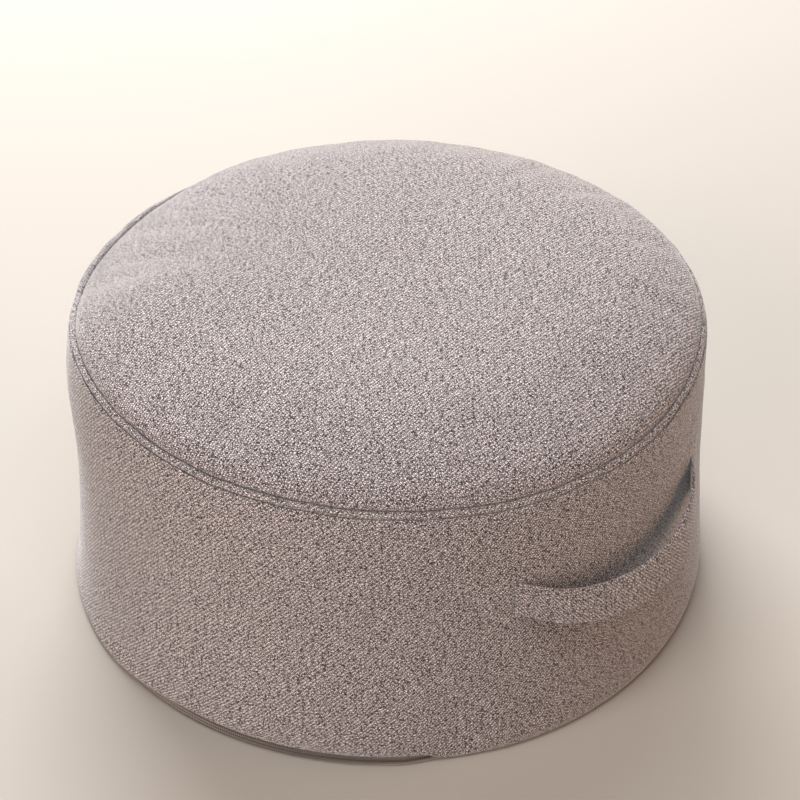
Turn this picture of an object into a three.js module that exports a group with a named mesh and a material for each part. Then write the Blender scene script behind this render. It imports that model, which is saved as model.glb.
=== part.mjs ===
// Round floor pouf: one filled cushion with a domed top and a bulged side, piped along its top seam,
// with a carrying strap sewn to the side and a zip let into the bottom seam.
// Millimetres, +Z up. The origin is the middle of the base on the floor, and the strap faces -Y.
// Azimuth is measured from -Y towards +X.
import * as THREE from 'three';

const DEGREE = Math.PI / 180;

// Cushion: diameter at the middle of the side, middle of the piping, and rise of the dome over its edge
const DIAMETER = 400;
const WALL_RADIUS = DIAMETER / 2;
const SEAM_RADIUS = 194.5;
const SEAM_HEIGHT = 190;
const CROWN_RISE = 31;
const CROWN_POWER = 3.6;
const CROWN_ROUND = 0.58;

// How unevenly the filling has settled: the dome is fuller on one side, the seam slopes and waves,
// the side is not quite round, it slumps sideways between base and seam, and it flares out over the zip
const CROWN_FULLER = 0.04;
const CROWN_FULLER_AZIMUTH = 45 * DEGREE;
const SEAM_WAVES = [
  { lobes: 1, height: 3.3, azimuth: -70 * DEGREE },
  { lobes: 2, height: 3.3, azimuth: -118 * DEGREE },
  { lobes: 4, height: 1.3, azimuth: -45 * DEGREE },
];
const SIDE_WAVES = [
  { lobes: 2, swell: 0.4, azimuth: 30 * DEGREE },
  { lobes: 3, swell: 0.8, azimuth: -33 * DEGREE },
];
const SLUMP = 2.4;
const SLUMP_AZIMUTH = -136 * DEGREE;
const FLARE = 5.2;
const FLARE_AZIMUTH = -87 * DEGREE;
const FLARE_POWER = 3;
const SETTLE_ROWS = [
  { height: 0, slump: 0, flare: 1 },
  { height: 10, slump: -0.8, flare: 1 },
  { height: 24, slump: -0.8, flare: 0.7 },
  { height: 62, slump: -0.45, flare: 0.15 },
  { height: 110, slump: 0.15, flare: 0 },
  { height: 146, slump: 0.8, flare: 0 },
  { height: 167, slump: 1, flare: 0 },
  { height: 178, slump: 0.9, flare: 0 },
  { height: 190, slump: 0.5, flare: 0 },
];

// Piping round the top seam, lying in a channel of the cushion
const PIPING_RADIUS = 3.5;
const PIPING_SIDES = 10;
const CHANNEL_START = -75 * DEGREE;
const CHANNEL_SWEEP = -175 * DEGREE;
const CHANNEL_STEPS = 5;

// Carrying strap, pressed flat against the side at both sewn ends and hanging clear between them
const STRAP_WIDTH = 25.5;
const STRAP_THICKNESS = 3;
const STRAP_HALF_SPAN = 23.8 * DEGREE;
const STRAP_HEIGHT = 121.5;
const STRAP_FREE_SHARE = 0.95;
const STRAP_SAG = 12.5;
const STRAP_SAG_POWER = 3;
const STRAP_STAND_OFF = 16;
const STRAP_LIFT_POWER = 1.25;
const STRAP_TILT = 0.12;
const STRAP_PRESS = 0.5;
const STRAP_PRESS_POWER = 6;
const STRAP_STEPS = 40;
const STRAP_EDGE_POINTS = 3;

// Zip, two halves that meet along the middle of the chain, in a rebate under the edge of the side
const ZIP_START = -33.75 * DEGREE;
const ZIP_SWEEP = -168.75 * DEGREE;
const ZIP_BOTTOM = 1.2;
const ZIP_TOP = 8.4;
const ZIP_TAPE = 1.2;
const ZIP_CHAIN_RISE = 1.5;
const ZIP_CHAIN_HEIGHT = 2.5;
const ZIP_REBATE_INSET = -1.2;

// Round of one chain half, from the meeting line outwards: share of its height, and of its rise
const ZIP_CHAIN_ROUND = [
  { across: 0, rise: 0.7 },
  { across: 0.4, rise: 1 },
  { across: 0.8, rise: 0.75 },
  { across: 1, rise: 0 },
];

// Room between pieces that touch, and the number of stations round the drum
const CLEARANCE = 0.3;
const STATIONS = 96;
const STATION_STEP = (2 * Math.PI) / STATIONS;

// Side of the cushion from the base to the piping: how far each row lies inside the middle radius,
// and its height. Along the zip the lowest rows step in to make the rebate.
const SIDE_ROWS = [
  { height: 0, inset: 4, zipHeight: 0, zipInset: 4 },
  { height: 1, inset: -1, zipHeight: 0.4, zipInset: ZIP_REBATE_INSET + 0.4 },
  { height: 4, inset: -3, zipHeight: ZIP_TOP + CLEARANCE, zipInset: ZIP_REBATE_INSET },
  { height: 10, inset: -4.2, zipHeight: ZIP_TOP + 2 * CLEARANCE, zipInset: -3.8 },
  { height: 30, inset: -3.8, zipHeight: 30, zipInset: -3.8 },
  { height: 62, inset: -2, zipHeight: 62, zipInset: -2 },
  { height: 95, inset: -0.5, zipHeight: 95, zipInset: -0.5 },
  { height: 130, inset: -0.6, zipHeight: 130, zipInset: -0.6 },
  { height: 154, inset: -0.9, zipHeight: 154, zipInset: -0.9 },
  { height: 171, inset: 0, zipHeight: 171, zipInset: 0 },
  { height: 180.5, inset: 2.2, zipHeight: 180.5, zipInset: 2.2 },
];

// Rings of the domed top, as shares of the crown's radius
const CROWN_SHARES = [0.995, 0.98, 0.95, 0.9, 0.83, 0.73, 0.6, 0.42, 0.22, 0];

const CLOTH_COLOUR = 0x988d88;
const ZIP_COLOUR = 0x5d4d45;

const cloth = new THREE.MeshStandardMaterial({ color: CLOTH_COLOUR, roughness: 0.95, metalness: 0 });
const zipCloth = new THREE.MeshStandardMaterial({ color: ZIP_COLOUR, roughness: 0.8, metalness: 0 });

// Value of a column at a height, between the rows of a table
function columnAt(rows, column, height) {
  const above = rows.findIndex((row) => row.height > height);
  if (above < 0) {
    return rows[rows.length - 1][column];
  }
  const high = rows[above];
  const low = rows[Math.max(above - 1, 0)];
  const share = (height - low.height) / Math.max(high.height - low.height, CLEARANCE);
  return THREE.MathUtils.lerp(low[column], high[column], share);
}

// Sum of waves round the drum at an azimuth
function wavesAt(waves, column, azimuth) {
  return waves.reduce((sum, wave) => sum + wave[column] * Math.cos(wave.lobes * (azimuth - wave.azimuth)), 0);
}

// Where a point of the even drum lies once the filling has settled.
// The seam's waves fade out towards the floor and towards the middle of the dome.
function settled(radius, azimuth, height) {
  const rise = Math.min(height / SEAM_HEIGHT, 1);
  const reach = radius / SEAM_RADIUS;
  const flare = FLARE * Math.max(Math.cos(azimuth - FLARE_AZIMUTH), 0) ** FLARE_POWER;
  const swell = wavesAt(SIDE_WAVES, 'swell', azimuth) + flare * columnAt(SETTLE_ROWS, 'flare', height);
  const spread = radius + reach * swell;
  const lift = wavesAt(SEAM_WAVES, 'height', azimuth) * reach ** 2 * rise;
  const slump = SLUMP * columnAt(SETTLE_ROWS, 'slump', height);
  return new THREE.Vector3(
    spread * Math.sin(azimuth) + slump * Math.sin(SLUMP_AZIMUTH),
    -spread * Math.cos(azimuth) - slump * Math.cos(SLUMP_AZIMUTH),
    height + lift,
  );
}

// Moves every vertex of a geometry to the point that a function gives for it
function reshape(geometry, pointAt) {
  const position = geometry.attributes.position;
  const vertex = new THREE.Vector3();
  for (let index = 0; index < position.count; index += 1) {
    vertex.fromBufferAttribute(position, index);
    const point = pointAt(vertex, index);
    position.setXYZ(index, point.x, point.y, point.z);
  }
  geometry.computeVertexNormals();
  return geometry;
}

// Body of revolution of rows of radius and height. rowAt may change a row along the way round.
function revolve(rows, rowAt) {
  const outline = rows.map((row) => new THREE.Vector2(row.radius, row.height));
  const geometry = new THREE.LatheGeometry(outline, STATIONS);
  return reshape(geometry, (vertex, index) => {
    const station = Math.floor(index / rows.length) % STATIONS;
    const azimuth = station * STATION_STEP;
    const { radius, height } = rowAt(rows[index % rows.length], azimuth);
    return settled(radius, azimuth, height);
  });
}

// Section swept in steps. pointAt gives the place of a section point at a share of the way along.
function sweep(section, steps, pointAt) {
  const geometry = new THREE.ExtrudeGeometry(section, { depth: 1, steps, bevelEnabled: false });
  return reshape(geometry, (vertex) => pointAt(vertex.x, vertex.y, vertex.z));
}

// Points of the channel in which the piping lies, from under it round its inner side to above it
function channelRows() {
  const step = CHANNEL_SWEEP / CHANNEL_STEPS;
  const reach = (PIPING_RADIUS + CLEARANCE) / Math.cos(step / 2);
  const rows = [];
  for (let index = 0; index <= CHANNEL_STEPS; index += 1) {
    const angle = CHANNEL_START + index * step;
    rows.push({
      radius: SEAM_RADIUS + reach * Math.cos(angle),
      height: SEAM_HEIGHT + reach * Math.sin(angle),
    });
  }
  return rows;
}

// Dome over the edge ring: flat in the middle, falling ever more steeply, and upright where it is sewn
function crownRows(edge) {
  return CROWN_SHARES.map((share) => ({
    radius: edge.radius * share,
    height: edge.height,
    share,
    rise: CROWN_RISE * (1 - share ** CROWN_POWER) ** CROWN_ROUND,
  }));
}

function alongZip(azimuth) {
  const travelled = (4 * Math.PI + ZIP_START - azimuth) % (2 * Math.PI);
  return travelled <= -ZIP_SWEEP + STATION_STEP / 2 || travelled >= 2 * Math.PI - STATION_STEP / 2;
}

// A row of the cushion at an azimuth: the dome is fuller on one side, and the side steps in at the zip
function cushionRowAt(row, azimuth) {
  if (row.rise !== undefined) {
    const fuller = 1 + CROWN_FULLER * row.share * Math.cos(azimuth - CROWN_FULLER_AZIMUTH);
    return { radius: row.radius, height: row.height + row.rise * fuller };
  }
  if (row.zipInset !== undefined && alongZip(azimuth)) {
    return { radius: WALL_RADIUS - row.zipInset, height: row.zipHeight };
  }
  return row;
}

function makeCushion() {
  const side = SIDE_ROWS.map((row) => ({ ...row, radius: WALL_RADIUS - row.inset }));
  const channel = channelRows();
  const crown = crownRows(channel[channel.length - 1]);
  const rows = [{ radius: 0, height: 0 }, ...side, ...channel, ...crown];
  return new THREE.Mesh(revolve(rows, cushionRowAt), cloth);
}

function makePiping() {
  const rows = [];
  for (let index = 0; index <= PIPING_SIDES; index += 1) {
    const angle = ((index % PIPING_SIDES) / PIPING_SIDES) * 2 * Math.PI;
    rows.push({
      radius: SEAM_RADIUS + PIPING_RADIUS * Math.cos(angle),
      height: SEAM_HEIGHT + PIPING_RADIUS * Math.sin(angle),
    });
  }
  return new THREE.Mesh(revolve(rows, (row) => row), cloth);
}

// Strap section: the outward thickness along x and the width along y, with round edges
function strapSection() {
  const edge = STRAP_THICKNESS / 2;
  const flat = STRAP_WIDTH / 2 - edge;
  const section = new THREE.Shape();
  section.absarc(edge, flat, edge, 0, Math.PI, false);
  section.absarc(edge, -flat, edge, Math.PI, 2 * Math.PI, false);
  section.closePath();
  return new THREE.Shape(section.getPoints(STRAP_EDGE_POINTS));
}

// The free middle stands off as a bell and hangs with a flat bottom, its lower edge a little further out
function makeStrap() {
  const geometry = sweep(strapSection(), STRAP_STEPS, (outward, across, share) => {
    const along = 1 - 2 * share;
    const free = Math.min(Math.abs(along) / STRAP_FREE_SHARE, 1);
    const lift = (1 - free ** 2) ** STRAP_LIFT_POWER;
    const height = STRAP_HEIGHT + across - STRAP_SAG * (1 - free ** STRAP_SAG_POWER);
    const standOff = CLEARANCE + lift * (STRAP_STAND_OFF - STRAP_TILT * across);
    const side = WALL_RADIUS - columnAt(SIDE_ROWS, 'inset', height);
    const thickness = outward * (1 - STRAP_PRESS * free ** STRAP_PRESS_POWER);
    return settled(side + standOff + thickness, along * STRAP_HALF_SPAN, height);
  });
  return new THREE.Mesh(geometry, cloth);
}

// Section of one zip half: a flat tape with the half-round chain along its inner edge.
// facing is 1 for the upper half and -1 for the lower one.
function zipSection(facing) {
  const back = WALL_RADIUS - ZIP_REBATE_INSET + CLEARANCE;
  const face = back + ZIP_TAPE;
  const middle = (ZIP_TOP + ZIP_BOTTOM) / 2;
  const meeting = middle + (facing * CLEARANCE) / 2;
  const outer = facing > 0 ? ZIP_TOP : ZIP_BOTTOM;
  const chain = ZIP_CHAIN_ROUND.map(
    ({ across, rise }) =>
      new THREE.Vector2(face + ZIP_CHAIN_RISE * rise, meeting + facing * ZIP_CHAIN_HEIGHT * across),
  );
  const points = [
    new THREE.Vector2(back, outer),
    new THREE.Vector2(back, meeting),
    ...chain,
    new THREE.Vector2(face, outer),
  ];
  return new THREE.Shape(facing > 0 ? points : points.reverse());
}

function makeZipHalf(facing) {
  const steps = Math.round(-ZIP_SWEEP / STATION_STEP);
  const geometry = sweep(zipSection(facing), steps, (radius, height, share) =>
    settled(radius, ZIP_START + ZIP_SWEEP * share, height),
  );
  return new THREE.Mesh(geometry, zipCloth);
}

function addPiece(name, mesh) {
  mesh.name = name;
  pouf.add(mesh);
}

const pouf = new THREE.Group();
pouf.name = 'round_floor_pouf';
addPiece('cushion', makeCushion());
addPiece('top_piping', makePiping());
addPiece('handle_strap', makeStrap());
addPiece('zip_upper_half', makeZipHalf(1));
addPiece('zip_lower_half', makeZipHalf(-1));

export default pouf;
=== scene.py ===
"""Round floor pouf: a filled drum cushion with a domed, piped top, a sewn carrying strap and a bottom zip.

Metres, +Z up, the middle of the base on the floor, the strap facing -Y.
Azimuth is measured from -Y towards +X.
"""

import math

import bmesh
import bpy
import numpy as np
from mathutils import Matrix, Vector


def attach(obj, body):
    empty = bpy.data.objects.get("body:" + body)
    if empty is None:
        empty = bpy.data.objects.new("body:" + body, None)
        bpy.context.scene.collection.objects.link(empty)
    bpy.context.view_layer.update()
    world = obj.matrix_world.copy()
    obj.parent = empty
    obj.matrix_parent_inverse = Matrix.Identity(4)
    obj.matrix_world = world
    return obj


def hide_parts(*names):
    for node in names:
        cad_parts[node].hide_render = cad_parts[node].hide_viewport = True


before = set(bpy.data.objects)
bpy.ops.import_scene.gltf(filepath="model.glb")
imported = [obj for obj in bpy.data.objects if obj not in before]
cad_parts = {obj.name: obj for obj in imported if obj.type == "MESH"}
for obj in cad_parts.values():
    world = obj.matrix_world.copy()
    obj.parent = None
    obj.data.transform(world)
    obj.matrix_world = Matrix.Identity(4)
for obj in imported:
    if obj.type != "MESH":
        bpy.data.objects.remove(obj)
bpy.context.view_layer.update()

bl_info = {
    "name": "Round Floor Pouf",
    "version": (1, 0, 0),
    "blender": (4, 5, 0),
    "location": "View3D > Sidebar > Pouf",
    "description": "Builds a piped drum pouf with a carrying strap and a bottom zip",
    "category": "Add Mesh",
}

MM = 0.001
BODY = "root"

# Quads along each side of the square that a disc panel is mapped from, the power by which its rings crowd
# towards the rim, and stations round the drum
PANEL_QUADS = 64
RIM_POWER = 1.6
STATIONS = 4 * PANEL_QUADS

# Steps in which the dome's profile is measured
REACH_STEPS = 2000

# How unevenly the filling has settled, in millimetres: lobes round the drum, size, and azimuth in degrees
SEAM_WAVES = (
    (1, 3.3, -70),
    (2, 3.3, -118),
    (4, 1.3, -45),
    (13, 0.25, 20),
    (29, 0.22, -8),
    (47, 0.16, 3),
)
SIDE_WAVES = ((2, 0.4, 30), (3, 0.8, -33))

# How far the rings slump sideways in millimetres, and towards which azimuth
SLUMP = 2.4
SLUMP_AZIMUTH = math.radians(-136)

# How far the foot flares over the zip in millimetres, where the most, and the power by which that falls off
FLARE = 5.2
FLARE_AZIMUTH = math.radians(-87)
FLARE_POWER = 3

# How far the foot is tucked in at the zip's end in millimetres, where, and its fade to each side
TUCK = 3.6
TUCK_AZIMUTH = math.radians(-34.5)
TUCK_FADE = (0, math.radians(9))

# How far the seam is drawn in at the back left in millimetres, where, and its fade to each side
DRAWN = 3.9
DRAWN_AZIMUTH = math.radians(-148)
DRAWN_FADE = (math.radians(4), math.radians(30))

# Heights in millimetres, and the shares of the slump, of flare and tuck, and of the drawn-in seam at each
SETTLE_HEIGHTS = (0, 10, 24, 62, 110, 146, 167, 178, 190)
SLUMP_SHARES = (0, -0.8, -0.8, -0.45, 0.15, 0.8, 1, 0.9, 0.5)
FLARE_SHARES = (1, 1, 0.7, 0.15, 0, 0, 0, 0, 0)
DRAWN_SHARES = (0, 0, 0, 0, 0, 0.15, 0.45, 0.8, 1)

# Stretch of the rim where the filling has sunk away from the seam: its middle, its fade to each side,
# how much rounder the dome falls there, and how far the seam drops in millimetres
SUNK_AZIMUTH = math.radians(-158)
SUNK_FADE = (math.radians(8), math.radians(34))
SUNK_ROUND = 0.42
SUNK_DROP = 4.5

# Along the sunk rim, in millimetres: how far the cord and the band's lip roll outwards, how far the cord
# rolls upwards and swells, and the heights between which the lip starts and ends
ROLL_OUT = 2.2
ROLL_UP = 0.8
ROLL_SWELL = 0.5
LIP_START = (180, 186)
LIP_END = (188.8, 189.8)

# Side band in millimetres, from the dome's sewn edge, round the piping's groove and down to the foot.
# Columns: radius, height, and rows up to the next point.
BAND_SIDE = (
    (193.8, 192.8, 2),
    (192.4, 191.8, 2),
    (191.7, 190.0, 2),
    (192.5, 188.0, 2),
    (194.5, 187.2, 2),
    (196.2, 187.9, 2),
    (197.2, 188.7, 2),
    (198.1, 187.2, 2),
    (198.9, 181.4, 3),
    (200.0, 171.0, 4),
    (200.9, 154.0, 5),
    (200.6, 130.0, 7),
    (200.5, 95.0, 7),
    (202.0, 62.0, 6),
)

# Foot of the side band in millimetres, down to the base. Columns: radius and height of the plain profile,
# of the one over the open zip and of the one whose edge hangs over the zip, and rows up to the next point.
BAND_FOOT = (
    (203.8, 30.0, 203.7, 30.0, 203.8, 30.0, 4),
    (204.2, 14.0, 204.2, 15.5, 204.3, 15.0, 2),
    (203.9, 8.0, 204.5, 11.4, 205.1, 8.0, 2),
    (202.8, 3.6, 204.2, 9.6, 205.2, 3.0, 1),
    (201.0, 1.4, 203.9, 9.2, 204.8, 2.0, 1),
    (199.9, 0.8, 203.3, 9.1, 204.4, 5.0, 1),
    (199.0, 0.5, 201.6, 9.0, 203.8, 9.3, 1),
    (198.2, 0.3, 200.9, 9.0, 200.9, 9.2, 3),
    (197.4, 0.2, 201.0, 1.4, 201.0, 1.4, 1),
    (196.0, 0.0, 198.6, 0.0, 198.6, 0.0, 0),
)
BAND = np.array([(radius, height) * 3 + (rows,) for radius, height, rows in BAND_SIDE] + list(BAND_FOOT))

# First columns of the three profiles, and the column of the rows
PLAIN, OPENED, COVERED, ROWS = 0, 2, 4, 6

# How far the zip's pocket fades beyond both ends, and the azimuths between which the edge of the side
# rises off the zip, at the left and at the right
ZIP_FADE = math.radians(7)
ZIP_OPENS = (math.radians(-107), math.radians(-80))
ZIP_CLOSES = (math.radians(-41), math.radians(-35))

# Turn of the weft of the top and base panels
WEFT = math.radians(45.7)


def length(name, description, millimetres):
    """Length property of the panel, with its default given in millimetres."""
    return bpy.props.FloatProperty(
        name=name, description=description, default=millimetres * MM, unit="LENGTH", precision=4
    )


def turn(name, description, degrees):
    """Angle property of the panel, with its default given in degrees."""
    return bpy.props.FloatProperty(
        name=name, description=description, default=math.radians(degrees), subtype="ANGLE"
    )


def share(name, description, default):
    """Plain number property of the panel."""
    return bpy.props.FloatProperty(name=name, description=description, default=default)


def colour(name, description, rgb):
    """Linear colour property of the panel."""
    return bpy.props.FloatVectorProperty(
        name=name, description=description, default=rgb, size=3, min=0, max=1, subtype="COLOR"
    )


class PoufShape(bpy.types.PropertyGroup):
    """Sizes of the cushion, its piping, strap and zip."""

    seam_radius: length("Seam Radius", "Radius of the middle of the piping", 194.5)
    seam_height: length("Seam Height", "Height of the middle of the piping", 190)
    edge_radius: length("Dome Radius", "Radius at which the dome is sewn to the piping", 193.8)
    edge_height: length("Dome Edge", "Height at which the dome is sewn to the piping", 192.8)
    crown_rise: length("Dome Rise", "Rise of the dome over its sewn edge", 32.1)
    crown_power: share("Dome Flatness", "Power of the radius by which the dome falls", 3.6)
    crown_round: share("Dome Rounding", "Rounding of the dome where it is sewn", 0.58)
    piping_radius: length("Piping Radius", "Radius of the covered cord", 2.4)
    strap_width: length("Strap Width", "Width of the carrying strap", 25.5)
    strap_thickness: length("Strap Thickness", "Thickness of the folded strap", 3.6)
    strap_height: length("Strap Height", "Height of the strap's sewn ends", 121.5)
    strap_span: turn("Strap Span", "Half of the arc that the strap takes up", 23.8)
    strap_sag: length("Strap Sag", "How far the middle of the strap hangs down", 12.5)
    strap_stand_off: length("Strap Stand-off", "Room behind the middle of the strap", 16)
    zip_start: turn("Zip Start", "Azimuth at which the zip starts", -33.75)
    zip_sweep: turn("Zip Sweep", "Arc of the bottom seam that the zip takes up", -168.75)
    zip_low: length("Zip Foot", "Height of the zip's lower edge", 1.2)
    zip_high: length("Zip Head", "Height of the zip's upper edge", 8.4)
    coil_pitch: length("Coil Pitch", "Distance between two loops of the zip's coil", 1.3)


class PoufFinish(bpy.types.PropertyGroup):
    """Colours and weave of the cloth and of the zip."""

    light_yarn: colour("Light Yarn", "Colour of the raised slubs", (0.86, 0.775, 0.765))
    # Darkest colour of the cloth: painted shade in the gaps of the weave, and also the darkest yarn
    dark_yarn_and_gap_shade: colour("Dark Yarn", "Colour between the slubs", (0.02, 0.015, 0.013))
    warp_pitch: length("Warp Pitch", "Distance between two warp yarns", 1.26)
    weft_pitch: length("Weft Pitch", "Distance between two weft yarns", 0.92)
    row_step: share("Row Step", "How far each row of weft steps sideways, in pitches", 0.35)
    sway: share("Yarn Sway", "How far the yarns sway, in pitches", 1.6)
    slub_length: share("Slub Length", "Length of a thick stretch of yarn, in pitches", 2.4)
    slub_width: share("Slub Width", "Width of a thick stretch of yarn, in pitches", 0.9)
    thin_shade: share("Thin Shade", "Tone of a thin stretch of yarn beside a thick one", 0.08)
    warp_shade: share("Warp Shade", "Tone of the warp beside the weft", 0.4)
    zip_cloth: colour("Zip Tape", "Colour of the zip's woven tape", (0.09, 0.072, 0.062))
    zip_coil: colour("Zip Coil", "Colour of the zip's coil", (0.62, 0.55, 0.5))


class PoufStage(bpy.types.PropertyGroup):
    """Floor and camera."""

    floor_colour: colour("Floor", "Colour of the plain floor", (0.45, 0.415, 0.37))
    camera_azimuth: turn("Camera Azimuth", "Azimuth from which the camera looks", -45.7)
    camera_pitch: turn("Camera Pitch", "How far the camera looks down", 38.34)
    camera_roll: turn("Camera Roll", "Turn of the camera about its own axis", 0.5)
    camera_side: length("Camera Side", "How far the camera stands to the right", 6.6)
    camera_back: length("Camera Distance", "How far the camera stands back", 1269.2)
    camera_height: length("Camera Height", "Height of the camera over the floor", 1124.2)
    camera_lens: share("Camera Lens", "Focal length in millimetres", 114)


# Shapes


def waves(table, azimuth):
    """Sum of cosines round the drum, one for each row of a table of lobes, size and azimuth."""
    return sum(size * np.cos(lobes * (azimuth - math.radians(at))) for lobes, size, at in table)


def smooth_step(low, high, value):
    """0 below low, 1 above high, and 3t^2 - 2t^3 between them."""
    t = np.clip((value - low) / (high - low), 0, 1)
    return t * t * (3 - 2 * t)


def apart(azimuth, middle):
    """Angle between an azimuth and a middle, at most half a turn."""
    return np.abs((azimuth - middle + math.pi) % (2 * math.pi) - math.pi)


def near(azimuth, middle, fade):
    """1 at a middle and 0 away from it, with a smooth fade between two angles from it."""
    return 1 - smooth_step(*fade, apart(azimuth, middle))


def sunk(azimuth):
    """1 where the rim has sunk and 0 elsewhere, with a smooth fade."""
    return near(azimuth, SUNK_AZIMUTH, SUNK_FADE)


def settled(shape, radius, azimuth, height):
    """Points of the even drum moved to where they lie once the filling has settled.

    The radius grows by the side waves and by the flare over the zip less the tuck at its end, and shrinks
    by the drawn-in seam. The height grows by the seam waves less the drop of the sunk rim, which fade with
    the square of the radius and towards the floor. Each ring slumps sideways.
    """
    given = (np.asarray(value, float) for value in (radius, azimuth, height))
    radius, azimuth, height = np.broadcast_arrays(*given)
    reach = radius / shape.seam_radius
    rise = np.minimum(height / shape.seam_height, 1)
    level = height / MM
    flare = FLARE * np.maximum(np.cos(azimuth - FLARE_AZIMUTH), 0) ** FLARE_POWER
    tuck = TUCK * near(azimuth, TUCK_AZIMUTH, TUCK_FADE)
    drawn = DRAWN * near(azimuth, DRAWN_AZIMUTH, DRAWN_FADE)
    swell = (
        waves(SIDE_WAVES, azimuth)
        + (flare - tuck) * np.interp(level, SETTLE_HEIGHTS, FLARE_SHARES)
        - drawn * np.interp(level, SETTLE_HEIGHTS, DRAWN_SHARES)
    )
    spread = radius + MM * reach * swell
    slump = MM * SLUMP * np.interp(level, SETTLE_HEIGHTS, SLUMP_SHARES)
    x = spread * np.sin(azimuth) + slump * math.sin(SLUMP_AZIMUTH)
    y = -spread * np.cos(azimuth) - slump * math.cos(SLUMP_AZIMUTH)
    lift = waves(SEAM_WAVES, azimuth) - SUNK_DROP * sunk(azimuth)
    z = height + MM * lift * reach**2 * rise
    return np.stack([x, y, z], -1)


def along_zip(shape, azimuth):
    """1 along the zip and 0 elsewhere, with a short fade beyond both of its ends."""
    away = apart(azimuth, shape.zip_start + shape.zip_sweep / 2)
    return 1 - smooth_step(0, ZIP_FADE, away - abs(shape.zip_sweep) / 2)


def through(points, steps):
    """Smooth rows through control points: cubic Hermite pieces whose tangents join the two neighbours.

    points has the shape (control points, ..., 2), and steps gives the rows from each point to the next.
    """
    ends = np.concatenate([2 * points[:1] - points[1:2], points, 2 * points[-1:] - points[-2:-1]])
    span = np.linalg.norm(np.diff(ends, axis=0), axis=-1, keepdims=True)
    tangents = (ends[2:] - ends[:-2]) / (span[1:] + span[:-1])
    pieces = [(index, count) for index, count in enumerate(steps) if count]
    first = np.concatenate([np.full(count, index) for index, count in pieces] + [[len(steps) - 2]])
    part = np.concatenate([np.arange(count) / count for index, count in pieces] + [[1.0]])
    t = part.reshape(-1, *[1] * (points.ndim - 1))
    chord = span[1:-1][first]
    return (
        (2 * t**3 - 3 * t**2 + 1) * points[first]
        + (t**3 - 2 * t**2 + t) * chord * tangents[first]
        + (3 * t**2 - 2 * t**3) * points[first + 1]
        + (t**3 - t**2) * chord * tangents[first + 1]
    )


def disc_grid(quads):
    """Share of the radius and azimuth of a square grid mapped onto a disc, ring by ring.

    A ring of the square becomes a circle: the share is the larger of the two coordinates, and the
    azimuth runs evenly along each side. The rings crowd towards the rim as 1 - (1 - share)^power.
    """
    line = np.linspace(-1, 1, quads + 1)
    a, b = np.meshgrid(line, line, indexing="ij")
    wide = np.abs(a) >= np.abs(b)
    with np.errstate(divide="ignore", invalid="ignore"):
        azimuth = np.where(wide, math.pi / 4 * b / a, math.pi / 2 - math.pi / 4 * a / b)
    azimuth = np.nan_to_num(azimuth) + np.where(np.where(wide, a, b) < 0, math.pi, 0)
    return 1 - (1 - np.maximum(np.abs(a), np.abs(b))) ** RIM_POWER, azimuth


def crown_points(shape, part, azimuth):
    """Dome over its sewn edge: height = edge + rise (1 - part^power)^round.

    The round is larger where the rim has sunk.
    """
    rounding = shape.crown_round + SUNK_ROUND * sunk(azimuth)
    rise = np.maximum(1 - part**shape.crown_power, 0) ** rounding
    return settled(shape, shape.edge_radius * part, azimuth, shape.edge_height + shape.crown_rise * rise)


def band_points(shape, azimuth):
    """Side band: the plain profile and the two zip profiles, mixed round the drum.

    Also gives each point's height before the filling settled, and the length of cloth above each row.
    """
    rows = BAND[:, ROWS].astype(int)
    plain, opened, covered = (BAND[:, None, first : first + 2] for first in (PLAIN, OPENED, COVERED))
    seen = smooth_step(*ZIP_OPENS, azimuth) * (1 - smooth_step(*ZIP_CLOSES, azimuth))
    zipped = covered + (opened - covered) * seen[None, :, None]
    mix = along_zip(shape, azimuth)[None, :, None]
    profile = through(plain + (zipped - plain) * mix, rows)
    lip = smooth_step(*LIP_START, profile[..., 1]) * (1 - smooth_step(*LIP_END, profile[..., 1]))
    profile[..., 0] += ROLL_OUT * sunk(azimuth) * lip
    profile *= MM
    even = MM * through(plain, rows)
    above = np.cumsum(np.linalg.norm(np.diff(even, axis=0, prepend=even[:1]), axis=-1), axis=0)
    return settled(shape, profile[..., 0], azimuth, profile[..., 1]), profile[..., 1], above


def base_points(shape, part, azimuth):
    """Flat base whose rim meets the lowest row of the side band."""
    plain, opened = BAND[-1, PLAIN], BAND[-1, OPENED]
    rim = MM * (plain + (opened - plain) * along_zip(shape, azimuth))
    return settled(shape, rim * part, azimuth, np.zeros_like(part))


def weft(reach, azimuth):
    """Distances along and across the weft of a disc panel, at a distance along the cloth from its middle."""
    return reach * np.sin(azimuth + WEFT), -reach * np.cos(azimuth + WEFT)


def crown_reach(shape, part):
    """Distance over the dome from its middle: the length of its profile, summed in short straight steps."""
    steps = np.linspace(0, 1, REACH_STEPS + 1)
    rise = shape.crown_rise * (1 - steps**shape.crown_power) ** shape.crown_round
    run = np.cumsum(np.hypot(np.diff(shape.edge_radius * steps, prepend=0), np.diff(rise, prepend=rise[0])))
    return np.interp(part, steps, run)


# Meshes

# Distance within which the patches' points are joined
WELD = 1e-6

# Frames that the cover is blown up for, and steps by which its points are held
FRAMES = 20
HOLD_STEPS = 10

# Cloth of the cover: light, firm and cut a little large, under the pressure of the filling
COVER_CLOTH = {
    "quality": 6,
    "mass": 0.05,
    "shrink_min": -0.007,
    "tension_stiffness": 15,
    "compression_stiffness": 15,
    "bending_stiffness": 0.5,
    "vertex_group_mass": "sewn",
    "use_pressure": True,
    "uniform_pressure_force": 4,
}


def grid_faces(rows, columns, wrap_rows=False, wrap_columns=False):
    """Quads of a grid of vertices numbered row by row."""
    i, j = np.meshgrid(
        np.arange(rows if wrap_rows else rows - 1),
        np.arange(columns if wrap_columns else columns - 1),
        indexing="ij",
    )
    k, m = (i + 1) % rows, (j + 1) % columns
    return np.stack([i * columns + j, i * columns + m, k * columns + m, k * columns + j], -1).reshape(-1, 4)


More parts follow.
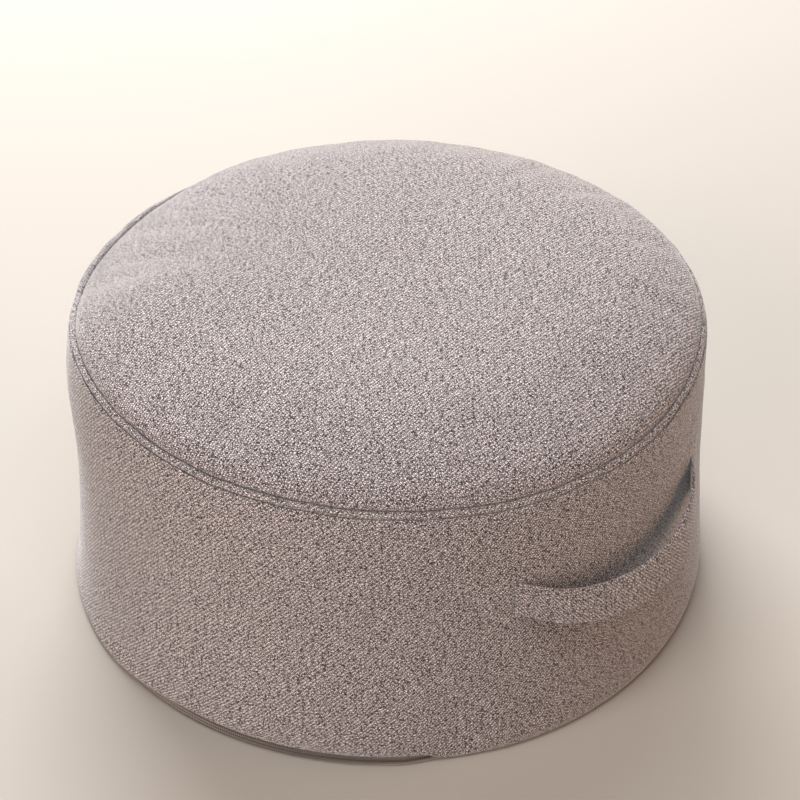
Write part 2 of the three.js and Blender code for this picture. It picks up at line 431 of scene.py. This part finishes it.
def corner_uv(u, v):
    """UV of the four corners of each quad of a grid that has one more row and column than quads."""
    uv = np.stack(np.broadcast_arrays(u, v), -1)
    return np.stack([uv[:-1, :-1], uv[:-1, 1:], uv[1:, 1:], uv[1:, :-1]], -2).reshape(-1, 2)


class Patch:
    """Grid of points with its quads, the UV of their corners, and how slack the cloth is at each point."""

    def __init__(self, points, u, v, wrap_rows=False, wrap_columns=False, slack=0.0):
        self.points = points.reshape(-1, 3)
        self.faces = grid_faces(*points.shape[:2], wrap_rows, wrap_columns)
        self.uv = corner_uv(u, v)
        self.slack = np.broadcast_to(slack, points.shape[:2]).ravel()


def add_mesh(name, patches):
    """Object of one mesh: the patches' points are joined where they meet, and faces point outwards."""
    offsets = np.cumsum([0] + [len(patch.points) for patch in patches[:-1]])
    mesh = bpy.data.meshes.new(name)
    mesh.from_pydata(
        np.concatenate([patch.points for patch in patches]),
        [],
        np.concatenate([patch.faces + offset for patch, offset in zip(patches, offsets)]).tolist(),
    )
    layer = mesh.uv_layers.new(name="weave")
    layer.data.foreach_set("uv", np.concatenate([patch.uv for patch in patches]).astype(np.float32).ravel())
    attribute = mesh.attributes.new("slack", "FLOAT", "POINT")
    attribute.data.foreach_set("value", np.concatenate([patch.slack for patch in patches]).astype(np.float32))
    edit = bmesh.new()
    edit.from_mesh(mesh)
    bmesh.ops.remove_doubles(edit, verts=edit.verts, dist=WELD)
    bmesh.ops.recalc_face_normals(edit, faces=edit.faces)
    edit.to_mesh(mesh)
    edit.free()
    mesh.polygons.foreach_set("use_smooth", np.ones(len(mesh.polygons), bool))
    piece = bpy.data.objects.new(name, mesh)
    bpy.context.scene.collection.objects.link(piece)
    return piece


def add_sweep(name, points, u, v):
    """Object of a section swept along a line, each end closed by a face that is split from its middle."""
    piece = add_mesh(name, [Patch(points, u, v, wrap_rows=True)])
    edit = bmesh.new()
    edit.from_mesh(piece.data)
    ends = bmesh.ops.holes_fill(edit, edges=[edge for edge in edit.edges if edge.is_boundary])["faces"]
    bmesh.ops.poke(edit, faces=ends)
    bmesh.ops.recalc_face_normals(edit, faces=edit.faces)
    edit.to_mesh(piece.data)
    edit.free()
    return piece


def slackness(mesh):
    """Array of how slack the cloth is at each vertex."""
    values = np.empty(len(mesh.vertices), np.float32)
    mesh.attributes["slack"].data.foreach_get("value", values)
    return values


def coordinates(mesh, key="co"):
    """Array of the vertices' places, or of their normals."""
    values = np.empty(len(mesh.vertices) * 3, np.float32)
    mesh.vertices.foreach_get(key, values)
    return values.reshape(-1, 3).astype(float)


def place(mesh, points):
    """Moves a mesh's vertices to new places."""
    mesh.vertices.foreach_set("co", points.astype(np.float32).ravel())
    mesh.update()


def subdivide(piece, levels):
    """Finishes a piece with a subdivision surface."""
    finish = piece.modifiers.new("Smooth", "SUBSURF")
    finish.levels = finish.render_levels = levels


def fill(piece, inset, cap):
    """Blows the cover up with Cloth from a slightly smaller shape.

    Each point stays within a cap of its start, and points that are sewn down, where slack is 0, are pinned.
    The result goes into the mesh.
    """
    scene = bpy.context.scene
    mesh = piece.data
    slack = slackness(mesh)
    place(mesh, coordinates(mesh) - coordinates(mesh, "normal") * inset * slack[:, None])
    start = coordinates(mesh)
    sewn = piece.vertex_groups.new(name="sewn")
    for level in range(1, HOLD_STEPS + 1):
        held = np.nonzero(np.round((1 - slack) * HOLD_STEPS) == level)[0]
        sewn.add(held.tolist(), level / HOLD_STEPS, "REPLACE")
    cloth = piece.modifiers.new("Filling", "CLOTH")
    for key, value in COVER_CLOTH.items():
        setattr(cloth.settings, key, value)
    cloth.settings.effector_weights.gravity = 0
    cloth.collision_settings.use_collision = False
    for step in range(1, FRAMES + 1):
        scene.frame_set(step)
    evaluated = piece.evaluated_get(bpy.context.evaluated_depsgraph_get())
    moved = coordinates(evaluated.data) - start
    piece.modifiers.remove(cloth)
    piece.vertex_groups.remove(sewn)
    scene.frame_set(1)
    far = np.linalg.norm(moved, axis=1, keepdims=True)
    place(mesh, start + moved * np.minimum(1, cap / np.maximum(far, 1e-9)))


# Materials

# Cloth: scale of the yarns' sway, scale and detail of the slubs, where a thin stretch turns into a thick one,
# how sharply the weft gives way to the warp, how wide the gaps are, which are painted dark as shade, and how
# deep
SWAY_SCALE = 0.5
SLUB_SCALE = 1.0
SLUB_DETAIL = 1.0
SLUB_LIMITS = (0.35, 0.5)
OVER_LIMITS = (-0.15, 0.15)
GAP_LIMITS = (0.05, 0.55)
GAP_DEPTH = 0.12 * MM

# Zip: scale, wobble, shade and depth of the tape's ribs, whose troughs are painted darker as shade, and scale
# and shade of the coil's streaks
RIB_SCALE = 400.0
RIB_WOBBLE = 1.0
RIB_SHADE = 0.7
RIB_DEPTH = 0.2 * MM
STREAK_SCALE = 900.0
STREAK_SHADE = 0.8


class Value:
    """Number socket of a node tree whose arithmetic adds Math nodes."""

    def __init__(self, finish, socket):
        self.finish, self.socket = finish, socket

    def math(self, operation, first, second=0.0):
        return self.finish.node("ShaderNodeMath", {"operation": operation}, {0: first, 1: second})

    def __add__(self, other):
        return self.math("ADD", self, other)

    def __sub__(self, other):
        return self.math("SUBTRACT", self, other)

    def __rsub__(self, other):
        return self.math("SUBTRACT", other, self)

    def __mul__(self, other):
        return self.math("MULTIPLY", self, other)

    def sine(self):
        return self.math("SINE", self)

    def size(self):
        return self.math("ABSOLUTE", self)

    __radd__, __rmul__ = __add__, __mul__


class Finish:
    """Node material with one Principled shader, whose unchanging values are set on its own sockets."""

    def __init__(self, name, **constants):
        self.material = bpy.data.materials.new(name)
        self.material.use_nodes = True
        self.tree = self.material.node_tree
        self.shader = self.tree.nodes["Principled BSDF"]
        for key, value in constants.items():
            self.shader.inputs[key.replace("_", " ").title().replace("Ior", "IOR")].default_value = value

    def node(self, kind, settings=None, inputs=None, output=0):
        """Adds a node, sets its settings and then its sockets, and returns one of its outputs."""
        made = self.tree.nodes.new(kind)
        for key, value in (settings or {}).items():
            setattr(made, key, value)
        for key, value in (inputs or {}).items():
            if isinstance(value, Value):
                self.tree.links.new(value.socket, made.inputs[key])
            else:
                made.inputs[key].default_value = value
        return Value(self, made.outputs[output])

    def feed(self, socket, value):
        """Links a value that changes over the surface to a socket of the shader."""
        self.tree.links.new(value.socket, self.shader.inputs[socket])

    def weave_uv(self):
        """The piece's own UV map, in metres along and across the cloth."""
        return self.node("ShaderNodeUVMap", {"uv_map": "weave"})

    def stretched(self, vector, run):
        """Coordinates divided by a length along and across, which stretches a pattern by them."""
        return self.node(
            "ShaderNodeMapping", {"vector_type": "TEXTURE"}, {"Vector": vector, "Scale": (*run, 1)}
        )

    def noise(self, vector, scale, detail=2.0, output=0):
        """Flat noise: output 0 is a number, and output 1 a colour."""
        return self.node(
            "ShaderNodeTexNoise",
            {"noise_dimensions": "2D"},
            {"Vector": vector, "Scale": scale, "Detail": detail},
            output,
        )

    def ramp(self, value, low, high):
        """Value spread so that low becomes 0 and high becomes 1, held there beyond."""
        return self.node(
            "ShaderNodeMapRange",
            {"interpolation_type": "SMOOTHSTEP"},
            {"Value": value, "From Min": low, "From Max": high},
        )

    def blend(self, factor, first, second):
        """Colour between two plain colours."""
        return self.node(
            "ShaderNodeMix", {"data_type": "RGBA"}, {0: factor, 6: (*first, 1), 7: (*second, 1)}, output=2
        )

    def bump(self, height, distance):
        """Feeds a height pattern to the shader's normal."""
        self.feed("Normal", self.node("ShaderNodeBump", None, {"Height": height, "Distance": distance}))


def darker(tint, shade):
    """Colour darkened to a share of itself."""
    return tuple(shade * channel for channel in tint)


def cloth_finish(look):
    """Plain weave of slub yarn whose rows step sideways.

    With x and y in yarn pitches, h = sin(pi (x + step y)) sin(pi y) is above 0 where the weft lies on top and
    below 0 where the warp does, and the gaps open where it is near 0, with painted shade in them. Thin
    stretches of yarn are darker.
    """
    finish = Finish(
        "slub_cloth", roughness=0.95, sheen_weight=0.55, sheen_roughness=0.35, specular_ior_level=0.2
    )
    laid = finish.stretched(finish.weave_uv(), (look.warp_pitch, look.weft_pitch))
    drift = finish.noise(laid, SWAY_SCALE, SLUB_DETAIL, output=1)
    x, y = (
        finish.node("ShaderNodeSeparateXYZ", None, {0: laid}, output=axis)
        + look.sway * (finish.node("ShaderNodeSeparateColor", None, {0: drift}, output=axis) - 0.5)
        for axis in (0, 1)
    )
    h = ((x + look.row_step * y) * math.pi).sine() * (y * math.pi).sine()
    weft_tone, warp_tone = (
        look.thin_shade
        + (1 - look.thin_shade)
        * finish.ramp(finish.noise(finish.stretched(laid, run), SLUB_SCALE, SLUB_DETAIL), *SLUB_LIMITS)
        for run in ((look.slub_length, look.slub_width), (look.slub_width, look.slub_length))
    )
    over = finish.ramp(h, *OVER_LIMITS)
    yarn = over * weft_tone + (1 - over) * (look.warp_shade * warp_tone)
    # Painted shade: the colour falls to its darkest where the yarns part, in the gaps of the weave; the same
    # tone is the bump's height
    tone = finish.ramp(h.size(), *GAP_LIMITS) * yarn
    finish.feed("Base Color", finish.blend(tone, look.dark_yarn_and_gap_shade, look.light_yarn))
    finish.bump(tone, GAP_DEPTH)
    return finish.material


def tape_finish(look):
    """Zip tape: fine ribs across the tape, with painted shade darkening their troughs."""
    finish = Finish("zip_tape", roughness=0.85, sheen_weight=0.1)
    rib = finish.node(
        "ShaderNodeTexWave",
        {"bands_direction": "X"},
        {"Vector": finish.weave_uv(), "Scale": RIB_SCALE, "Distortion": RIB_WOBBLE},
    )
    # Painted shade: the tape's colour darkens in the troughs of the ribs, which are also the bump's lows
    finish.feed("Base Color", finish.blend(rib, darker(look.zip_cloth, RIB_SHADE), look.zip_cloth))
    finish.bump(rib, RIB_DEPTH)
    return finish.material


def coil_finish(look):
    """Zip coil: smooth filament with faint streaks."""
    finish = Finish("zip_coil", roughness=0.45)
    streak = finish.noise(finish.weave_uv(), STREAK_SCALE)
    finish.feed("Base Color", finish.blend(streak, darker(look.zip_coil, STREAK_SHADE), look.zip_coil))
    return finish.material


def shared(name, maker, look):
    """Material of that name, made the first time that a piece asks for it."""
    return bpy.data.materials.get(name) or maker(look)


def dress(piece, material, node):
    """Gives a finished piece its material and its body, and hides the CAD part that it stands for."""
    piece.data.materials.append(material)
    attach(piece, BODY)
    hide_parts(node)


# Pieces


class POUF_OT_cushion(bpy.types.Operator):
    """Makes the filled cover: domed top, side band and flat base, sewn together in one closed mesh."""

    bl_idname = "pouf.cushion"
    bl_label = "Cushion"

    # Where the cloth is held: towards the dome's edge, at the foot, at the seam and round the strap's ends
    dome_hold = (0.88, 1)
    foot_hold = (10 * MM, 40 * MM)
    seam_hold = (160 * MM, 188 * MM)
    tab_arc = (math.radians(2), math.radians(6))
    tab_rise = (14 * MM, 28 * MM)

    # Slack of the band beside the dome's, how much smaller the cover starts, and how far a point may move
    band_slack = 0.6
    inset = 1.5 * MM
    cap = 3 * MM

    def slack(self, shape, azimuth, height):
        """How slack the side band is: not at all at the foot, at the seam and under the strap's sewn ends."""
        free = smooth_step(*self.foot_hold, height) * (1 - smooth_step(*self.seam_hold, height))
        level = 1 - smooth_step(*self.tab_rise, np.abs(height - shape.strap_height))
        tab = near(np.abs(azimuth), shape.strap_span, self.tab_arc) * level
        return self.band_slack * (free * (1 - tab))

    def execute(self, context):
        shape, look = context.scene.pouf_shape, context.scene.pouf_finish
        part, azimuth = disc_grid(PANEL_QUADS)
        crown = crown_points(shape, part, azimuth)
        base = base_points(shape, part, azimuth)
        station = np.linspace(-math.pi, math.pi, STATIONS + 1)
        band, height, above = band_points(shape, station)
        cover = add_mesh(
            "cushion_cover",
            [
                Patch(
                    crown,
                    *weft(crown_reach(shape, part), azimuth),
                    slack=1 - smooth_step(*self.dome_hold, part),
                ),
                Patch(
                    band[:, :-1],
                    station * shape.seam_radius,
                    -above,
                    wrap_columns=True,
                    slack=self.slack(shape, station, height)[:, :-1],
                ),
                Patch(base, *weft(shape.seam_radius * part, azimuth)),
            ],
        )
        fill(cover, self.inset, self.cap)
        subdivide(cover, 1)
        dress(cover, shared("slub_cloth", cloth_finish, look), "cushion")
        return {"FINISHED"}


class POUF_OT_piping(bpy.types.Operator):
    """Makes the covered cord in the seam between dome and side band, rolled outwards along the sunk rim."""

    bl_idname = "pouf.piping"
    bl_label = "Piping"

    sides = 12

    def execute(self, context):
        shape, look = context.scene.pouf_shape, context.scene.pouf_finish
        station = np.linspace(-math.pi, math.pi, 2 * STATIONS + 1)
        around = np.linspace(0, 2 * math.pi, self.sides + 1)[:, None]
        rolled = MM * sunk(station)
        thick = shape.piping_radius + ROLL_SWELL * rolled
        ring = settled(
            shape,
            shape.seam_radius + thick * np.cos(around) + ROLL_OUT * rolled,
            station,
            shape.seam_height + thick * np.sin(around) + ROLL_UP * rolled,
        )
        piping = add_mesh(
            "top_piping_cord",
            [
                Patch(
                    ring[:-1, :-1],
                    station * shape.seam_radius,
                    around * shape.piping_radius,
                    wrap_rows=True,
                    wrap_columns=True,
                )
            ],
        )
        dress(piping, shared("slub_cloth", cloth_finish, look), "top_piping")
        return {"FINISHED"}


class POUF_OT_strap(bpy.types.Operator):
    """Makes the folded strap, flat against the side at both sewn ends and hanging clear between them."""

    bl_idname = "pouf.strap"
    bl_label = "Carrying Strap"

    # Stations along the strap, sides of its section, and the powers that square its width and thickness
    stations = 120
    sides = 48
    width_power = 0.5
    thick_power = 0.35

    # Share of the length that hangs free, powers of its sag and of the lift of each half, its tilt, and the
    # room behind the sewn ends
    free_share = 0.95
    sag_power = 3
    lift_powers = (1.25, 0.9)
    tilt = 0.12
    clearance = 0.3 * MM

    # How much thinner the strap is pressed towards its ends, by which power, and how much its very ends
    # are tucked in from a share of its length on
    press = 0.5
    press_power = 6
    tuck = 0.75
    tuck_start = 0.96

    def points(self, shape, along, outward, across):
        """Strap's points: the free middle lifts as (1 - f^2)^power and hangs as 1 - f^power.

        The ends are thinner. along runs from -1 to 1, and outward and across give the section.
        """
        free = np.minimum(np.abs(along) / self.free_share, 1)
        lift = (1 - free**2) ** np.where(along < 0, *self.lift_powers)
        height = shape.strap_height + across - shape.strap_sag * (1 - free**self.sag_power)
        stand = self.clearance + lift * (shape.strap_stand_off - self.tilt * across)
        side = MM * np.interp(height / MM, BAND[::-1, PLAIN + 1], BAND[::-1, PLAIN])
        pressed = 1 - self.press * free**self.press_power
        tucked = 1 - self.tuck * smooth_step(self.tuck_start, 1, np.abs(along))
        thick = outward * pressed * tucked
        return settled(shape, side + stand + thick, along * shape.strap_span, height)

    def execute(self, context):
        shape, look = context.scene.pouf_shape, context.scene.pouf_finish
        around = np.linspace(0, 2 * math.pi, self.sides + 1)[:, None]
        along = np.linspace(-1, 1, self.stations + 1)
        half_wide, half_thick = shape.strap_width / 2, shape.strap_thickness / 2
        across = half_wide * np.sign(np.cos(around)) * np.abs(np.cos(around)) ** self.width_power
        outward = half_thick * (1 + np.sign(np.sin(around)) * np.abs(np.sin(around)) ** self.thick_power)
        points = self.points(shape, along[None], outward, across)
        flat_length = float(np.linalg.norm(np.diff(points[0], axis=0), axis=1).sum())
        edges = np.hypot(np.diff(across, axis=0), np.diff(outward, axis=0))
        girth = np.concatenate([[[0.0]], np.cumsum(edges, axis=0)])
        strap = add_sweep("strap", points[:-1], (along[None] + 1) / 2 * flat_length, girth)
        dress(strap, shared("slub_cloth", cloth_finish, look), "handle_strap")
        return {"FINISHED"}


class POUF_OT_zip(bpy.types.Operator):
    """Makes both halves of the zip: a woven tape with a coil along its inner edge."""

    bl_idname = "pouf.zip"
    bl_label = "Zip"

    # Tape: stations along it, radius of its back and of its face, half of the gap between the two tapes,
    # and the cloth's run from one edge of the section to the next
    stations = 300
    tape_back = 201.3 * MM
    tape_face = 202.2 * MM
    half_gap = 0.15 * MM
    tape_run = 2 * MM

    # Coil: half of a loop's depth and height, its gap to the meeting line, steps of a loop, the share of
    # a loop by which each half is shifted, and the wire's radius, sides and run for each radian
    coil_reach = 0.6 * MM
    coil_height = 1.05 * MM
    coil_gap = 0.25 * MM
    loop_steps = 8
    loop_shift = 0.25
    wire = 0.3 * MM
    wire_sides = 5
    wire_run = 1 * MM

    def tape(self, shape, name, run, meeting, edge):
        """Adds a tape: a flat section between the meeting line and the zip's edge, swept along the zip."""
        steps = np.linspace(0, 1, self.stations + 1)
        radius = np.array([self.tape_back, self.tape_face, self.tape_face, self.tape_back])[:, None]
        height = np.array([meeting, meeting, edge, edge])[:, None]
        points = settled(shape, radius, shape.zip_start + shape.zip_sweep * steps, height)
        return add_sweep(name, points, steps * run, np.arange(5)[:, None] * self.tape_run)

    def coil(self, shape, name, run, meeting, facing):
        """Adds a coil: a wire whose middle runs round as r = reach cos t, z = height sin t along the zip."""
        turns = int(run / shape.coil_pitch)
        loop = np.linspace(0, 2 * math.pi * turns, self.loop_steps * turns + 1)
        around = np.linspace(0, 2 * math.pi, self.wire_sides + 1)[:, None]
        middle = meeting + facing * (self.coil_height + self.wire + self.coil_gap)
        centre = self.tape_face + self.coil_reach + self.wire * np.cos(around)
        radius = centre + self.coil_reach * np.cos(loop)
        height = middle + self.coil_height * np.sin(loop) * facing + self.wire * np.sin(around)
        along = loop / loop[-1] + facing * self.loop_shift / turns
        ring = settled(shape, radius, shape.zip_start + shape.zip_sweep * along, height)
        return add_sweep(name, ring[:-1], loop * self.wire_run, around * self.wire)

    def execute(self, context):
        shape, look = context.scene.pouf_shape, context.scene.pouf_finish
        run = abs(shape.zip_sweep) * self.tape_face
        middle = (shape.zip_low + shape.zip_high) / 2
        for name, facing, edge in (("upper", 1, shape.zip_high), ("lower", -1, shape.zip_low)):
            meeting = middle + facing * self.half_gap
            tape = self.tape(shape, f"zip_{name}_tape", run, meeting, edge)
            dress(tape, shared("zip_tape", tape_finish, look), f"zip_{name}_half")
            coil = self.coil(shape, f"zip_{name}_coil", run, meeting, facing)
            dress(coil, shared("zip_coil", coil_finish, look), f"zip_{name}_half")
        return {"FINISHED"}


# Stage

# Name, azimuth and elevation in degrees, distance and width in metres, power in watts, linear colour
LIGHTS = (
    ("key_light", 150, 33, 2.4, 1.6, 98, (0.98, 0.98, 1)),
    ("high_light", 135, 55, 2.4, 1.6, 26, (0.93, 0.96, 1)),
    ("top_light", -35, 66, 2.2, 0.8, 16, (0.93, 0.96, 1)),
    ("fill_light", -85, 24, 3.0, 2.4, 86, (1, 0.87, 0.8)),
    ("bounce_light", 45, 8, 2.0, 1.6, 24, (1, 0.66, 0.45)),
)


class POUF_OT_stage(bpy.types.Operator):
    """Lays the plain floor, hangs the lights and sets up the camera."""

    bl_idname = "pouf.stage"
    bl_label = "Stage"

    # Floor: radius in metres, quads of its disc, and scale and shade of its mottle
    floor_reach = 6.0
    floor_quads = 16
    mottle_scale = 3.0
    mottle_shade = 0.97

    # Point that the lights look at, and colour and strength of the even surround
    target = (0, 0, 0.1)
    surround_colour = (1, 0.95, 0.9, 1)
    surround_strength = 0.02

    def floor(self, context):
        """Plain disc under the pouf, with a faint mottle."""
        part, azimuth = disc_grid(self.floor_quads)
        reach = self.floor_reach * part
        points = np.stack([reach * np.sin(azimuth), -reach * np.cos(azimuth), np.zeros_like(part)], -1)
        floor = add_mesh("floor", [Patch(points, points[..., 0], points[..., 1])])
        finish = Finish("floor_paint", roughness=0.9)
        mottle = finish.noise(finish.weave_uv(), self.mottle_scale)
        tint = context.scene.pouf_stage.floor_colour
        finish.feed("Base Color", finish.blend(mottle, darker(tint, self.mottle_shade), tint))
        floor.data.materials.append(finish.material)

    def camera(self, context):
        """Camera at the viewing angle: right and away are its level axes, then it pitches and rolls."""
        stage = context.scene.pouf_stage
        right = Vector((math.cos(stage.camera_azimuth), math.sin(stage.camera_azimuth), 0))
        away = Vector((-math.sin(stage.camera_azimuth), math.cos(stage.camera_azimuth), 0))
        up = Vector((0, 0, 1))
        forward = away * math.cos(stage.camera_pitch) - up * math.sin(stage.camera_pitch)
        over = away * math.sin(stage.camera_pitch) + up * math.cos(stage.camera_pitch)
        x = right * math.cos(stage.camera_roll) + over * math.sin(stage.camera_roll)
        y = over * math.cos(stage.camera_roll) - right * math.sin(stage.camera_roll)
        data = bpy.data.cameras.new("camera")
        data.lens = stage.camera_lens
        data.sensor_width = 36
        camera = bpy.data.objects.new("camera", data)
        context.scene.collection.objects.link(camera)
        spot = right * stage.camera_side - away * stage.camera_back + up * stage.camera_height
        camera.matrix_world = Matrix.Translation(spot) @ Matrix((x, y, -forward)).transposed().to_4x4()
        context.scene.camera = camera

    def lights(self, context):
        """Area lights that look at the middle of the pouf, and an even surround."""
        for name, azimuth, elevation, distance, width, power, tint in LIGHTS:
            data = bpy.data.lights.new(name, "AREA")
            data.size, data.energy, data.color = width, power, tint
            light = bpy.data.objects.new(name, data)
            context.scene.collection.objects.link(light)
            a, e = math.radians(azimuth), math.radians(elevation)
            way = Vector((math.sin(a) * math.cos(e), -math.cos(a) * math.cos(e), math.sin(e)))
            light.location = Vector(self.target) + way * distance
            light.rotation_euler = way.to_track_quat("Z", "Y").to_euler()
        world = bpy.data.worlds.new("surround")
        world.use_nodes = True
        background = world.node_tree.nodes["Background"]
        background.inputs["Color"].default_value = self.surround_colour
        background.inputs["Strength"].default_value = self.surround_strength
        context.scene.world = world
        context.scene.view_settings.view_transform = "Standard"

    def execute(self, context):
        self.floor(context)
        self.camera(context)
        self.lights(context)
        return {"FINISHED"}


class POUF_PT_builder(bpy.types.Panel):
    """Lists the sizes, finishes and pieces of the pouf."""

    bl_idname = "POUF_PT_builder"
    bl_label = "Round Floor Pouf"
    bl_space_type = "VIEW_3D"
    bl_region_type = "UI"
    bl_category = "Pouf"

    def draw(self, context):
        for group in (context.scene.pouf_shape, context.scene.pouf_finish, context.scene.pouf_stage):
            box = self.layout.box()
            for key in group.__annotations__:
                box.prop(group, key)
        for operator in OPERATORS:
            self.layout.operator(operator.bl_idname)


GROUPS = (PoufShape, PoufFinish, PoufStage)
OPERATORS = (POUF_OT_stage, POUF_OT_cushion, POUF_OT_piping, POUF_OT_strap, POUF_OT_zip)
CLASSES = (*GROUPS, *OPERATORS, POUF_PT_builder)


def register():
    for cls in CLASSES:
        bpy.utils.register_class(cls)
    bpy.types.Scene.pouf_shape = bpy.props.PointerProperty(type=PoufShape)
    bpy.types.Scene.pouf_finish = bpy.props.PointerProperty(type=PoufFinish)
    bpy.types.Scene.pouf_stage = bpy.props.PointerProperty(type=PoufStage)


def unregister():
    del bpy.types.Scene.pouf_stage, bpy.types.Scene.pouf_finish, bpy.types.Scene.pouf_shape
    for cls in reversed(CLASSES):
        bpy.utils.unregister_class(cls)


def main():
    register()
    bpy.ops.pouf.stage()
    bpy.ops.pouf.cushion()
    bpy.ops.pouf.piping()
    bpy.ops.pouf.strap()
    bpy.ops.pouf.zip()


if __name__ == "__main__":
    main()
